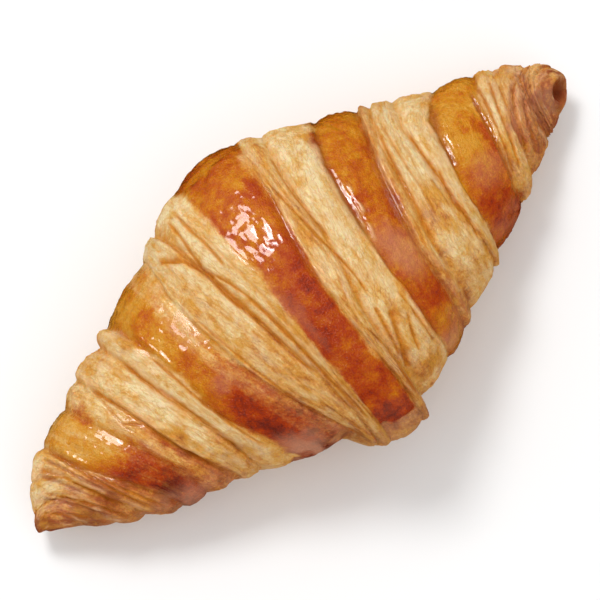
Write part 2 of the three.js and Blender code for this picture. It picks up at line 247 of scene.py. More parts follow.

# patches of a zone: place and size in the same pixels, how much more they baked, and how dull they dried,
# with a painted pinkish sheen where dull
patches = [
    ((25, -128), (16, 14), -0.1, 0),
    ((-52, 150), (12, 14), 0.15, 0),
    ((48, 140), (18, 9), 0.3, 0),
    ((-72, 96), (7, 30), 0.08, 0),
    ((-48, 64), (9, 9), -0.2, 0),
    ((-62, 105), (16, 34), -0.09, 0),
    ((-26, -100), (9, 22), 0.2, 0),
    ((32, -108), (8, 13), 0.2, 0),
    ((15, 4), (8, 26), 0.14, 0),
    ((5, -30), (5, 18), -0.14, 0),
    ((-5, 6), (6, 12), -0.12, 0),
    ((-8, 52), (13, 12), 0.14, 0),
    ((-8, 150), (22, 10), 0.14, 0.1),
    ((-17, 14), (7, 50), 0.04, 0.25),
    ((-133, -75), (18, 16), 0.06, 0),
    ((-116, -46), (11, 24), 0, 0.3),
    ((-168, -74), (7, 9), 0.3, 0),
    ((-114, 52), (14, 16), 0.05, 0),
    ((-105, 92), (14, 13), 0.1, 0),
    ((-91, 119), (16, 12), 0, 0.6),
    ((-206, 86), (16, 9), 0, 0.6),
    ((-120, 20), (11, 10), 0, 0.35),
    ((-246, -45), (8, 16), 0.34, 0),
    ((-236, 30), (18, 10), 0.12, 0),
    ((-230, 66), (20, 9), 0.1, 0),
    ((-190, 38), (7, 14), 0.3, 0),
    ((-172, 14), (8, 28), -0.22, 0),
    ((-192, -40), (12, 26), 0.1, 0),
    ((-122, -40), (14, 24), 0.06, 0),
    ((-226, 66), (14, 10), 0.16, 0),
    ((-242, 42), (12, 9), -0.06, 0),
    ((103, 34), (17, 34), -0.02, 0.56),
    ((95, 86), (13, 12), 0.1, 0),
    ((97, 124), (15, 16), -0.09, 0),
    ((144, -58), (10, 7), 0.16, 0),
    ((128, 0), (8, 16), 0.2, 0),
    ((104, -112), (7, 10), 0.3, 0),
    ((224, 30), (22, 20), 0.04, 0.3),
    ((244, 0), (6, 20), 0.26, 0),
    ((212, 62), (14, 10), 0.1, 0),
    ((238, -32), (6, 6), 0.2, 0),
    ((-68, -15), (16, 26), -0.14, 0),
    ((78, -95), (18, 34), -0.13, 0),
    ((126, -85), (20, 16), -0.08, 0),
    ((195, -34), (9, 32), -0.1, 0),
    ((-45, -95), (9, 36), -0.12, 0),
    ((57, 110), (14, 22), -0.08, 0),
    ((-270, -32), (16, 14), -0.06, 0),
    ((155, 30), (9, 22), 0.2, 0),
    ((296, 8), (34, 26), 0.1, 0.4),
    ((321, 12), (16, 17), 0.28, 0),
    ((268, 10), (7, 9), 0.3, 0.6),
    ((285, -26), (26, 12), 0.08, 0.25),
    ((270, -22), (9, 18), -0.08, 0),
    ((-345, 16), (16, 16), 0.75, 0),
    ((-276, 24), (8, 30), 0.25, 0),
    ((-300, 42), (30, 9), 0.28, 0),
    ((-306, 8), (7, 22), 0.2, 0),
    ((-184, -50), (12, 26), -0.1, 0),
    ((-170, 40), (12, 30), -0.12, 0),
    ((88, -60), (10, 50), 0.12, 0),
]

# zones between the lines, left to right: the line where each ends and how far past it, how much egg wash
# it got, how much its layers show, and its bake from pale to dark brown, from the back flank over the
# crest to the front flank
zones = [
    ("leftNub", 0, 0.3, 0.7, (0.45, 0.36, 0.36, 0.48, 0.64, 0.8, 0.95)),
    ("leftRing", 0, 0.15, 1.0, (0.4, 0.26, 0.2, 0.34, 0.55, 0.72, 0.88)),
    ("outerGlazeLeft", 0, 0.3, 1.0, (0.4, 0.3, 0.26, 0.38, 0.55, 0.72, 0.84)),
    ("outerPaleLeft", 0, 0.7, 0.2, (0.3, 0.22, 0.2, 0.36, 0.62, 0.85, 0.93)),
    ("secondEdgeLeft", 0, 0.4, 0.4, (0.35, 0.15, 0.15, 0.35, 0.55, 0.7, 0.8)),
    ("secondFoldLeft", 0, 0.05, 0.8, (0.45, 0.3, 0.16, 0.14, 0.26, 0.42, 0.56)),
    ("secondGlazeLeft", 0, 0.0, 0.8, (0.45, 0.22, 0.0, -0.04, 0.12, 0.32, 0.5)),
    ("topEdgeLeft", -5.2, 1.0, 0.05, (0.33, 0.34, 0.37, 0.5, 0.66, 0.78, 0.9)),
    ("topEdgeLeft", 0, 0.5, 0.2, (0.4, 0.25, 0.25, 0.45, 0.62, 0.78, 0.85)),
    ("topFoldLeft", 0, 0.0, 0.45, (0.15, 0.26, 0.32, 0.38, 0.46, 0.56, 0.7)),
    ("topGlazeLeft", 0, 0.05, 0.7, (0.2, 0.12, 0.14, 0.28, 0.42, 0.52, 0.62)),
    ("topGlazeRight", 0, 1.0, 0.0, (0.54, 0.53, 0.6, 0.68, 0.72, 0.63, 0.76)),
    ("topFoldRight", 0, 0.2, 1.0, (0.4, 0.38, 0.42, 0.3, 0.35, 0.5, 0.7)),
    ("topEdgeRight", 0, 0.0, 0.6, (0.25, 0.12, 0.14, 0.2, 0.3, 0.42, 0.52)),
    ("secondGlazeRight", 0, 1.0, 0.05, (0.46, 0.48, 0.5, 0.54, 0.55, 0.6, 0.5)),
    ("secondRimRight", 0, 0.4, 1.0, (0.5, 0.5, 0.5, 0.5, 0.55, 0.6, 0.65)),
    ("secondFoldRight", 0, 0.05, 0.8, (0.35, 0.22, 0.14, 0.18, 0.28, 0.4, 0.48)),
    ("secondEdgeRight", 0, 0.0, 0.85, (0.35, 0.16, 0.08, 0.16, 0.28, 0.4, 0.5)),
    ("outerGlazeRight", 0, 1.0, 0.05, (0.35, 0.33, 0.34, 0.36, 0.52, 0.66, 0.66)),
    ("rightRing", 0, 0.15, 1.3, (0.4, 0.24, 0.14, 0.2, 0.34, 0.5, 0.62)),
    ("rightNub", 0, 0.25, 1.2, (0.5, 0.45, 0.42, 0.5, 0.6, 0.7, 0.8)),
    ("rightTip", 0, 0.3, 0.9, (0.55, 0.5, 0.5, 0.6, 0.72, 0.85, 0.95)),
]
underBake = 0.6
zoneSoftness = 1.0  # mm over which one zone becomes the next
spreadSoftness = 3.0  # mm over which thin wash runs out past its zone

# the cut end of the strap at the front, in the photograph's pixels: bare sheets that step down
strapEnd = {
    "left": (-38, 157),
    "right": (19, 167),
    "soft": 3,
    "bake": 0.84,
    # dull wash, tinted with a painted pinkish sheen of grazing reflection
    "dullAndSheen": 0.35,
    "stepWidth": 0.55,  # mm
    "stepHeight": 0.3,
}

# the rolled-in sheets that show as a spiral at both ends, how dark their lines are, and how wide the
# painted shade in the end hole is
spirals = [
    {"tip": "leftTip", "from": -72.5, "spacing": 2.3, "turns": -1, "height": 0.1, "holeShade": 2.6,
     "lines": 0.25},
    {"tip": "rightTip", "from": 73.0, "spacing": 1.9, "turns": 1, "height": 0.75, "holeShade": 4.2,
     "lines": 0.9},
]

places = np.array([at for at, rise in lines.values()], float)
rises = np.array([rise for at, rise in lines.values()], float)
crest = places[:, 2]

# how the camera sees a place of the roll, in millimetres
seen = {
    "height": 28.0,  # over the floor, the level that the camera is aimed at
    "distance": 602.0,
    "along": (0.9958, -0.0095, 0.0903),
    "towardsFront": (0.0, -0.9944, -0.1057),
}

# how high the finest relief of the dough is, in millimetres
fineRelief = {
    "folds": 0.74,
    "foldsSink": 0.24,
    "smallFolds": 0.3,
    "smallFoldsSink": 0.1,
    "blisters": 0.36,
    "wrinkles": 0.11,
    "grain": 0.12,
    "waves": 0.24,
    "crumbs": 0.15,
    "crumbPits": 0.3,
    "crumbsRise": 0.08,
}


# where a line crosses the crest
def lineAt(name):
    return lines[name][0][2]


def smooth(start, end, value):
    t = np.clip((value - start) / (end - start), 0, 1)
    return t * t * (3 - 2 * t)


def stepUp(value):
    return 0.5 * (1 + np.tanh(value))


def bell(value):
    return np.exp(-value * value)


# a value given on the back flank, the crest and the front flank, at any angle round the roll
def aroundRoll(three, turn):
    back, top, front = three
    s = np.sin(turn)
    return top + s * (front - back) / 2 + s * s * ((front + back) / 2 - top)


# soft random bumps, one to each unit of u, and a whole number of them once round the roll
def bumps(u, turn, count, seed):
    table = np.random.default_rng(seed).uniform(-1, 1, (1024, count))
    v = (turn / (2 * np.pi) + 0.5) * count
    u0 = np.floor(u).astype(int)
    v0 = np.floor(v).astype(int)
    fu = u - u0
    fv = v - v0
    fu = fu * fu * (3 - 2 * fu)
    fv = fv * fv * (3 - 2 * fv)
    low = table[u0 % 1024, v0 % count] * (1 - fu) + table[(u0 + 1) % 1024, v0 % count] * fu
    high = table[u0 % 1024, (v0 + 1) % count] * (1 - fu) + table[(u0 + 1) % 1024, (v0 + 1) % count] * fu
    return low * (1 - fv) + high * fv


# soft random lumps in space, one to each stretch of the given size
def lumps(points, size, seed):
    table = np.random.default_rng(seed).uniform(-1, 1, 65536)
    place = points / size + 500
    cell = np.floor(place).astype(np.int64)
    part = place - cell
    part = part * part * (3 - 2 * part)
    total = 0
    for corner in range(8):
        step = np.array([corner & 1, corner >> 1 & 1, corner >> 2 & 1])
        where = cell + step
        index = (where[..., 0] * 73856093 + where[..., 1] * 19349663 + where[..., 2] * 83492791) % 65536
        weight = np.prod(np.where(step == 1, part, 1 - part), axis=-1)
        total += weight * table[index]
    return total


# a value given at five places round the roll, with a smooth curve through them
def aroundFive(five, turn):
    place = (np.sin(turn) + 1) * 2
    k = np.clip(np.floor(place), 0, 3).astype(int)
    t = place - k
    slopes = np.gradient(five, axis=-1)

    def pick(values, j):
        return np.take_along_axis(values, j[..., None], axis=-1)[..., 0]

    start = pick(five, k)
    end = pick(five, k + 1)
    whole = t * t * (3 - 2 * t)
    bent = t * (1 - t) * ((1 - t) * pick(slopes, k) - t * pick(slopes, k + 1))
    return start + (end - start) * whole + bent


# the line before p, a place on the crest, and how far p is from it towards the next
def between(p):
    k = np.clip(np.searchsorted(crest, p, side="right"), 1, len(crest) - 1)
    return k, (p - crest[k - 1]) / (crest[k] - crest[k - 1])


def along(p, turn):
    k, t = between(p)
    return aroundFive(places[k - 1] * (1 - t[..., None]) + places[k] * t[..., None], turn)


def riseRelief(p, turn):
    k, t = between(p)
    eased = smooth(0, 1, t)[..., None]
    three = rises[k - 1] * (1 - eased) + rises[k] * eased
    return aroundRoll(np.moveaxis(three, -1, 0), turn)


def rollRadius(x):
    rounding = roll["middleRounding"]
    radius = roll["middleRadius"] - roll["taper"] * (np.sqrt(x * x + rounding * rounding) - rounding)
    for cap in (roll["capLeft"], roll["capRight"]):
        side = math.copysign(1, cap["from"])
        past = np.clip((x - cap["from"]) * side / cap["reach"], 0, 1)
        radius = radius * (1 - past ** cap["power"]) ** (1 / cap["power"])
    return radius


# how much the pressed underside keeps of a relief
def exposed(turn):
    return 0.2 + 0.8 * smooth(-0.75, 0.1, np.cos(turn))


# how far p is from a line, towards the middle of the roll
def inwards(p, name):
    return (lineAt(name) - p) * math.copysign(1, lineAt(name))


# steps at the edges of layers, with a line of crease tint painted at the foot of each, shade under the
# edge as well as browning, and a painted glint along the lip on top
def edgeRelief(p, turn):
    height = 0
    footShade = 0
    lipGlint = 0
    for name, heights in edges.items():
        d = inwards(p, name)
        near = np.exp(-np.abs(d) / edgeShape["reach"])
        height += aroundRoll(heights, turn) * (stepUp(d / edgeShape["softness"]) - 0.5) * near
        footShade = np.maximum(footShade, bell((d + 0.5) / 0.6))
        lipGlint = np.maximum(lipGlint, bell((d - 0.7) / 0.45))
    footShade = 0.8 * footShade * np.clip(0.6 + 0.9 * bumps(p / 3, turn, 30, 28), 0, 1)
    return height, footShade, 0.8 * lipGlint * np.clip(0.3 + 1.4 * bumps(p / 3, turn, 44, 29), 0, 1)


# shifts the surface along the roll, so that an edge hangs over the layer below
def edgeOverhang(p):
    moved = 0
    for name in edges:
        d = inwards(p, name)
        moved += math.copysign(1, lineAt(name)) * (bell((d - 0.35) / 0.5) - 0.8 * bell((d + 0.45) / 0.45))
    return moved * edgeShape["overhang"]


def grooveRelief(p, turn):
    height = 0
    dark = 0
    for name, (width, depths) in grooves.items():
        d = (p - lineAt(name)) / width
        depth = aroundRoll(depths, turn)
        height += depth * (0.22 * bell(np.abs(d) - 2.1) - bell(d))
        # painted shade in the groove, stronger where the groove is deeper; it goes into the crease tint
        dark = np.maximum(dark, np.clip(depth, 0, 1.2) * np.exp(-d * d * 1.2))
    return height, dark


def swellRelief(p):
    return roll["swell"] * (np.sin(np.pi * between(p)[1]) - 0.5)


def strapRelief(p, turn):
    degrees = np.degrees(turn)
    grown = smooth(strap["from"], strap["full"], degrees)
    kept = 1 - smooth(strap["end"] - strap["fade"], strap["end"], degrees)
    leftEdge = lineAt(strap["left"]["line"]) + strap["left"]["by"]
    rightEdge = lineAt(strap["right"]["line"]) + strap["right"]["by"]
    left = stepUp((p - leftEdge) / strap["left"]["width"])
    right = stepUp((rightEdge - p) / strap["right"]["width"])
    return strap["rise"] * grown * kept * left * right


def unevenRelief(x, turn):
    a = np.sin(x * 0.11 + 2 * turn + 0.6)
    b = np.sin(x * 0.23 - 3 * turn + 2.1)
    c = np.sin(x * 0.05 + turn * 4 + 4.0)
    return roll["unevenness"] * (a + b + c)


# turns the last of an end about its start, towards a direction across the roll
def bendEnd(x, y, z, bend):
    side = math.copysign(1, bend["from"])
    past = np.clip((x - bend["from"]) * side, 0, None)
    share = np.clip(past / bend["over"], 0, 1)
    turned = bend["angle"] * share * share
    ty, tz = bend["towards"]
    pivot = rollRadius(np.array(bend["from"]))
    pivotZ = (roll["crestBase"] + roll["crestPerRadius"] * pivot) * roll["girthShare"]
    across = y * ty + (z - pivotZ) * tz
    nearer = across * (np.cos(turned) - 1) + past * np.sin(turned) * 0.5
    return x - side * across * np.sin(turned), y + ty * nearer, z + tz * nearer


def bentEnds(x, y, z):
    x, y, z = bendEnd(x, y, z, roll["bendLeft"])
    return bendEnd(x, y, z, roll["bendRight"])


# everything that sets how a zone looks, at a place on the roll
def zoneFields(p, turn):
    s = np.sin(turn)
    ragged = 0.7 * bumps(p / 2.5, turn, 40, 11) + 0.3 * bumps(p / 1.2, turn, 120, 12)
    wavy = 0.9 * bumps(p / 9, turn, 14, 13)
    where = p + ragged + wavy
    fields = {"wash": 0, "flaky": 0, "bake": 0}
    spread = 0
    spreadBefore = np.ones_like(p)
    before = np.ones_like(p)
    for k, (name, by, wash, flaky, bake) in enumerate(zones):
        last = k == len(zones) - 1
        edge = lineAt(name) + by
        after = 0 if last else stepUp((where - edge) / zoneSoftness)
        share = before - after
        spreadAfter = 0 if last else stepUp((where + wavy - edge) / spreadSoftness)
        spread += (spreadBefore - spreadAfter) * wash
        spreadBefore = spreadAfter
        fields["bake"] += share * np.interp(s, np.linspace(-1, 1, len(bake)), bake)
        fields["wash"] += share * wash
        fields["flaky"] += share * flaky
        before = after
    under = smooth(0.15, 0.75, -np.cos(turn))
    fields["bake"] = fields["bake"] * (1 - under) + underBake * under
    fields["stain"] = np.clip(2.8 * (spread - fields["wash"]), 0, 1) * (1 - under)
    fields["wash"] = fields["wash"] * (1 - under)
    fields["flaky"] = fields["flaky"] * (1 - 0.7 * under)
    return fields


# soft folds of thin dough that run with the layers: round backs, and narrow valleys between them
def foldRelief(p, turn, flaky):
    bend = 1.3 * bumps(p / 8, turn, 11, 21) + 0.5 * bumps(p / 3, turn, 34, 22)
    bend += 0.2 * bumps(p, turn, 90, 27)
    wide = bumps(p / 1.9 + bend, turn, 7, 23)
    narrow = bumps(p / 0.8 + 1.6 * bend, turn, 22, 24)
    strong = np.clip(0.4 + 1.2 * bumps(p / 5, turn, 14, 25), 0, 1)
    weak = np.clip(flaky - 0.1 + 0.9 * bumps(p / 3, turn, 18, 26), 0, 1)
    height = flaky * strong * (fineRelief["folds"] * np.abs(wide) - fineRelief["foldsSink"])
    height += weak * (fineRelief["smallFolds"] * np.abs(narrow) - fineRelief["smallFoldsSink"])
    valley = np.clip(flaky * strong, 0, 1) * bell(wide / 0.07)
    valley = np.maximum(valley, 0.7 * weak * bell(narrow / 0.12))
    return height, valley


# blisters and wrinkles of the dried egg wash
def washRelief(rough, p, turn, wash):
    blister = np.clip(lumps(rough, 2.6, 31) - 0.05, 0, None)
    wrinkle = bumps(p / 0.9 + lumps(rough, 5.0, 33), turn, 55, 32)
    height = fineRelief["blisters"] * blister + fineRelief["wrinkles"] * wrinkle
    height += fineRelief["grain"] * lumps(rough, 0.8, 34)
    return wash * (height + fineRelief["waves"] * lumps(rough, 6.5, 35))


def crumbRelief(rough, wash):
    height = fineRelief["crumbs"] * lumps(rough, 0.9, 41) + fineRelief["crumbsRise"]
    height -= fineRelief["crumbPits"] * np.abs(lumps(rough, 2.2, 42))
    return (1 - wash) * (height + fineRelief["waves"] * lumps(rough, 5.0, 43))


# patches, the bare end of the strap and the dark ends: changes to how places look, and to the relief
def localChanges(a, b, turn, rough, fields):
    above = smooth(-0.2, 0.15, np.cos(turn))
    px = a * pixelsPerMm + 4 * lumps(rough, 2.2, 71) + 3 * lumps(rough, 6.0, 72)
    py = b * pixelsPerMm + 4 * lumps(rough, 2.2, 73) + 5 * lumps(rough, 6.0, 74)
    streaky = np.clip(0.7 + 0.9 * bumps(a / 2.4, turn, 26, 76), 0.2, 1)
    # painted sheen: a pinkish tint of grazing reflection low on the front flank of the glazed bands,
    # which also dulls their gloss
    low = smooth(0.74, 0.94, np.sin(turn)) * smooth(6, 12, np.abs(a)) * (1 - 0.7 * smooth(10, 30, a))
    fields["dullAndSheen"] = fields["wash"] * low * streaky
    for (atX, atY), (sizeX, sizeY), bake, dullAndSheen in patches:
        away = np.hypot((px - atX) / sizeX, (py - atY) / sizeY)
        share = (1 - smooth(0.4, 1.4, away)) * above
        fields["bake"] += bake * share
        fields["dullAndSheen"] = np.maximum(fields["dullAndSheen"], dullAndSheen * share)
    (leftA, leftB), (rightA, rightB) = strapEnd["left"], strapEnd["right"]
    below = py - leftB - (px - leftA) * (rightB - leftB) / (rightA - leftA)
    end = smooth(-strapEnd["soft"], strapEnd["soft"], below) * (turn > 0)
    end = end * smooth(leftA - 3, leftA + 3, px) * smooth(-rightA - 3, -rightA + 3, -px)
    fields["wash"] = fields["wash"] * (1 - end)
    fields["bake"] = fields["bake"] * (1 - end) + strapEnd["bake"] * end
    fields["dullAndSheen"] = np.maximum(fields["dullAndSheen"], strapEnd["dullAndSheen"] * end)
    step = (turn * 38 + 0.5 * lumps(rough, 3.0, 75)) / strapEnd["stepWidth"]
    return end * strapEnd["stepHeight"] * (step - np.floor(step) - 0.5)


def spiralRelief(p, turn, fields):
    height = 0
    for spiral in spirals:
        tip = lineAt(spiral["tip"])
        side = math.copysign(1, tip)
        inside = smooth(0, 2.5, (p - spiral["from"]) * side)
        phase = (p - tip) * side / spiral["spacing"] + spiral["turns"] * turn / (2 * np.pi)
        phase += 0.3 * bumps(p / 4, turn, 9, 81) + 0.12 * bumps(p / 2, turn, 30, 82)
        part = phase - np.floor(phase)
        height += inside * spiral["height"] * (part - 0.5)
        near = np.minimum(part, 1 - part) / 0.16
        burnt = spiral["lines"] * np.clip(0.7 + bumps(p / 3, turn, 12, 83), 0, 1) * bell(near)
        # painted shade in the hollow at the end, given the scorch colour
        holeShade = 1 - smooth(0.5, 1.3, rollRadius(p) / spiral["holeShade"])
        fields["scorchAndHoleShade"] = np.maximum(fields["scorchAndHoleShade"], inside * np.maximum(burnt, holeShade))
        # painted glint along the outer edge of each rolled sheet
        paintedGlint = 0.9 * np.clip(bumps(p / 2, turn, 20, 84), 0, 1) * bell((part - 0.8) / 0.1)
        fields["rimGlint"] = np.maximum(fields["rimGlint"], inside * paintedGlint)
    return height


# rounds the corners of a path
def roundedPath(path):
    points = np.array(path, float)
    for _ in range(2):
        early = points[:-1] * 0.75 + points[1:] * 0.25
        late = points[:-1] * 0.25 + points[1:] * 0.75
        inner = np.stack([early, late], axis=1).reshape(-1, 2)
        points = np.concatenate([points[:1], inner, points[-1:]])
    return points


# distance to a path, which side of it, and how far along it the nearest place is, from 0 to 1
def besidePath(path, a, b):
    points = roundedPath(path)
    lengths = np.linalg.norm(np.diff(points, axis=0), axis=1)
    starts = np.concatenate([[0], np.cumsum(lengths)])
    best = np.full(a.shape, 1e9)
    side = np.zeros(a.shape)
    share = np.zeros(a.shape)
    for k, length in enumerate(lengths):
        ua, ub = (points[k + 1] - points[k]) / length
        da = a - points[k, 0]
        db = b - points[k, 1]
        t = np.clip(da * ua + db * ub, 0, length)
        away = np.hypot(da - t * ua, db - t * ub)
        nearer = away < best
        best = np.where(nearer, away, best)
        side = np.where(nearer, np.sign(da * ub - db * ua), side)
        share = np.where(nearer, (starts[k] + t) / starts[-1], share)
    return best, side, share


def markRelief(a, b, turn):
    height = np.zeros(a.shape)
    effect = {name: np.zeros(a.shape) for name in ("crease", "scorchAndHoleShade", "rimGlint")}
    above = smooth(-0.2, 0.15, np.cos(turn))
    wobble = 0.22 * bumps(a / 2.2, turn, 80, 61) + 0.12 * bumps(a, turn, 150, 62)
    broken = np.clip(0.3 + 1.8 * bumps(a / 1.5, turn, 70, 63), 0, 1)
    for kind, depth, width, path in [(kind, *mark) for kind, group in marks.items() for mark in group]:
        path = np.array(path, float) / pixelsPerMm
        margin = width * 4 + 1
        near = (a > path[:, 0].min() - margin) & (a < path[:, 0].max() + margin)
        near &= (b > path[:, 1].min() - margin) & (b < path[:, 1].max() + margin)
        if not near.any():
            continue
        away, side, share = besidePath(path, a[near], b[near])
        d = np.abs(away + wobble[near] * 0.7) / width
        fade = smooth(0, 0.15, share) * smooth(0, 0.15, 1 - share) * above[near]
        depth = depth * fade
        line = bell(d)
        beside = bell(d - 2)
        changed = "crease"
        # painted shade in folds and tears, stronger where they are deeper
        shown = np.clip(depth * 2.6, 0, 1) * np.exp(-d * d * 0.5)
        if kind == "welt":
            height[near] += depth * line
            continue
        if kind == "rimGlint":
            depth = depth * (0.4 + 0.6 * broken[near])
            height[near] += depth * line - 0.4 * depth * beside * (side > 0)
            # painted glint: a pale broken line along the raised rim
            changed = "rimGlint"
            shown = fade * broken[near] * line
        else:
            height[near] += 0.3 * depth * beside - depth * line
        if kind == "scorchAndHoleShade":
            changed = "scorchAndHoleShade"
            shown = 0.65 * fade * np.exp(-d * d * 0.6)
        effect[changed][near] = np.maximum(effect[changed][near], shown)
    return height, effect


def leanBack(x):
    body = lean["body"] * smooth(lean["bodyFrom"], lean["bodyTo"], np.abs(x))
    return body + lean["tips"] * smooth(lean["tipsFrom"], lean["tipsTo"], np.abs(x))


def section(x, base, relief, turn):
    crestZ = roll["crestBase"] * np.clip(base / 12, 0, 1) + roll["crestPerRadius"] * base
    middleZ = crestZ * roll["girthShare"]
    sine = np.sin(turn)
    cosine = np.cos(turn)
    power = np.where(cosine > 0, roll["roundTop"], roll["squareUnder"])
    unit = (np.abs(sine) ** power + np.abs(cosine) ** power) ** (-1 / power)
    up = np.where(cosine > 0, crestZ - middleZ, middleZ + roll["underTuck"])
    lift = roll["tipLift"] * smooth(roll["tipLiftFrom"], 84, np.abs(x))
    middle = middleZ + lift + (12 - np.clip(base, None, 12)) * 0.45
    y = -(base + relief) * unit * sine + leanBack(x)
    z = middle + (up + relief) * unit * cosine
    return y, z


# where the camera sees a place: along the roll and towards its front
def seenFromCamera(x, y, z):
    place = np.stack([x, y, z - seen["height"]], axis=-1)
    nearer = 1 / (1 - place[..., 2] / seen["distance"])
    return place @ seen["along"] * nearer, place @ seen["towardsFront"] * nearer


def surface(p, turn, fine=True, sink=0):
    x = along(p, turn)
    base = rollRadius(x)
    whole = np.clip(base / 9, 0, 1)
    fade = exposed(turn) * whole
    fields = zoneFields(p, turn)
    jitter = 0
    if fine:
        jitter = 0.5 * bumps(p / 20, turn, 22, 51) + 0.3 * bumps(p / 20, turn, 60, 52)
    groove, dark = grooveRelief(p + jitter * 0.6, turn)
    step, footShade, lipGlint = edgeRelief(p + jitter, turn)
    relief = (step + groove + swellRelief(p) + riseRelief(p, turn)) * fade
    relief += strapRelief(p, turn) + unevenRelief(x, turn) * fade
    # painted shade of grooves and of the feet of steps, as crease tint
    fields["crease"] = np.clip(np.maximum(1.3 * dark, footShade), 0, 1)
    fields["scorchAndHoleShade"] = np.zeros_like(x)
    side = np.where(p < 0, -1, 1)
    hollow = np.where(p < 0, roll["capLeft"]["hollow"], roll["capRight"]["hollow"])
    x = x - side * hollow * (1 - smooth(0.2, 1, rollRadius(p) / roll["hollowRadius"]))
    if fine:
        y, z = section(x, base, relief, turn)
        rough = np.stack([x, y, z], axis=-1)
        a, b = seenFromCamera(*bentEnds(x, y, z))
        pressed, effect = markRelief(a, b, turn)
        fields["crease"] = np.maximum(fields["crease"], effect["crease"])
        fields["scorchAndHoleShade"] = effect["scorchAndHoleShade"]
        fields["rimGlint"] = np.maximum(effect["rimGlint"], lipGlint)
        relief += (pressed + localChanges(a, b, turn, rough, fields)) * whole
        relief += spiralRelief(p, turn, fields) * whole
        folds, valley = foldRelief(p, turn, fields["flaky"])
        fields["valley"] = valley
        fields["crease"] = np.maximum(fields["crease"], 0.45 * valley)
        relief += fade * (folds + washRelief(rough, p, turn, fields["wash"]))
        relief = relief + fade * crumbRelief(rough, fields["wash"]) - sink
    y, z = section(x, base, relief, turn)
    if fine:
        x = x + edgeOverhang(p + jitter) * fade
    x, y, z = bentEnds(x, y, z)
    z = np.clip(z, 0, None)
    return np.stack([x, y, z], axis=-1), fields


# puts the roll's box where the solid's box is
def centreShift():
    p, turn = np.meshgrid(np.linspace(crest[0], crest[-1], 300), np.linspace(-np.pi, np.pi, 120))
    points, _ = surface(p, turn, fine=False)
    flat = points.reshape(-1, 3)
    middle = (flat.min(axis=0) + flat.max(axis=0)) / 2
    return np.array([-middle[0], -middle[1], 0.0])


shift = centreShift()
addCamera(cameraPlace)
print("camera placed")


def meshFrom(name, points, faces, fields, dough):
    mesh = bpy.data.meshes.new(name)
    mesh.from_pydata([], [], [])
    count = len(points)
    mesh.vertices.add(count)
    mesh.vertices.foreach_set("co", ((points + shift) * mm).ravel())
    mesh.loops.add(faces.size)
    mesh.loops.foreach_set("vertex_index", faces.ravel())
    mesh.polygons.add(len(faces))
    mesh.polygons.foreach_set("loop_start", np.arange(0, faces.size, faces.shape[1]))
    mesh.polygons.foreach_set("use_smooth", np.ones(len(faces), bool))
    mesh.update(calc_edges=True)
    mesh.validate()
    for field, values in fields.items():
        layer = mesh.attributes.new(field, "FLOAT", "POINT")
        layer.data.foreach_set("value", np.asarray(values, float).ravel())
    layer = mesh.attributes.new("dough", "FLOAT_VECTOR", "POINT")
    layer.data.foreach_set("vector", dough.ravel())
    piece = bpy.data.objects.new(name, mesh)
    bpy.context.scene.collection.objects.link(piece)
    return piece


# the crust is one surface, meshed in stretches that meet under the edges of the layers
crust = {
    "stretches": [
        {"name": "crustLeftEnd", "to": "secondEdgeLeft", "by": -0.45},
        {"name": "crustLeftLayer", "to": "topEdgeLeft", "by": -0.45},
        {"name": "crustTopLayer", "to": "topEdgeRight", "by": 0.45},
        {"name": "crustRightLayer", "to": "secondEdgeRight", "by": 0.45},
        {"name": "crustRightEnd", "to": "rightTip", "by": 0.0},
    ],
    "ringSpacing": 0.17,  # mm along the roll
    "roundSteps": 300,
    "underDensity": 0.42,  # of the columns on the underside, to those on the top
    "tuckedRings": 4,  # that run on under the neighbour
    "tuck": 0.6,
    "tipSteps": {-1: 90, 1: 56},  # rings to the left tip and to the right
}


def turnPlaces(settings):
    fine = np.linspace(-np.pi, np.pi, 4001)
    low = settings["underDensity"]
    density = low + (1 - low) * smooth(-0.55, -0.15, np.cos(fine))
    total = np.concatenate([[0], np.cumsum((density[1:] + density[:-1]) / 2)])
    count = settings["roundSteps"]
    return np.interp((np.arange(count) + 0.5) / count, total / total[-1], fine)


# rings past a place, and how far each sinks: under the neighbour, or closer together up to a tip
def ringsPast(settings, place, tip, side):
    if place == tip:
        tucked = np.arange(1, settings["tuckedRings"] + 1) * settings["ringSpacing"]
        return place + side * tucked, settings["tuck"] * tucked ** 2
    steps = settings["tipSteps"][side]
    share = np.sin(np.arange(1, steps) / steps * np.pi / 2)
    return place + (tip - place) * share, np.zeros(steps - 1)


def ringPlaces(settings, start, end):
    first = max(start, roll["capLeft"]["from"])
    last = min(end, roll["capRight"]["from"])
    count = int(round((last - first) / settings["ringSpacing"])) + 1
    before, sinksBefore = ringsPast(settings, first, start, -1)
    after, sinksAfter = ringsPast(settings, last, end, 1)
    ringsAt = np.concatenate([before[::-1], np.linspace(first, last, count), after])
    return ringsAt, np.concatenate([sinksBefore[::-1], np.zeros(count), sinksAfter])


def buildStretch(settings, name, start, end):
    ringsAt, sinks = ringPlaces(settings, start, end)
    turns = turnPlaces(settings)
    rings, count = len(ringsAt), len(turns)
    p, turn = np.meshgrid(ringsAt, turns, indexing="ij")
    points, fields = surface(p, turn, sink=sinks[:, None])
    dough = np.stack([p, turn * rollRadius(p), rollRadius(p)], axis=-1)
    ring, step = np.meshgrid(np.arange(rings - 1), np.arange(count), indexing="ij")
    after = (step + 1) % count
    quads = np.stack([ring * count + step, ring * count + after,
                      (ring + 1) * count + after, (ring + 1) * count + step], axis=-1).reshape(-1, 4)
    values = {key: np.asarray(value).reshape(-1) for key, value in fields.items()}
    piece = meshFrom(name, points.reshape(-1, 3), quads, values, dough.reshape(-1, 3))
    if start <= crest[0]:
        closeTip(piece.data, range(count - 1, -1, -1))
    if end >= crest[-1]:
        closeTip(piece.data, range((rings - 1) * count, rings * count))
    return piece


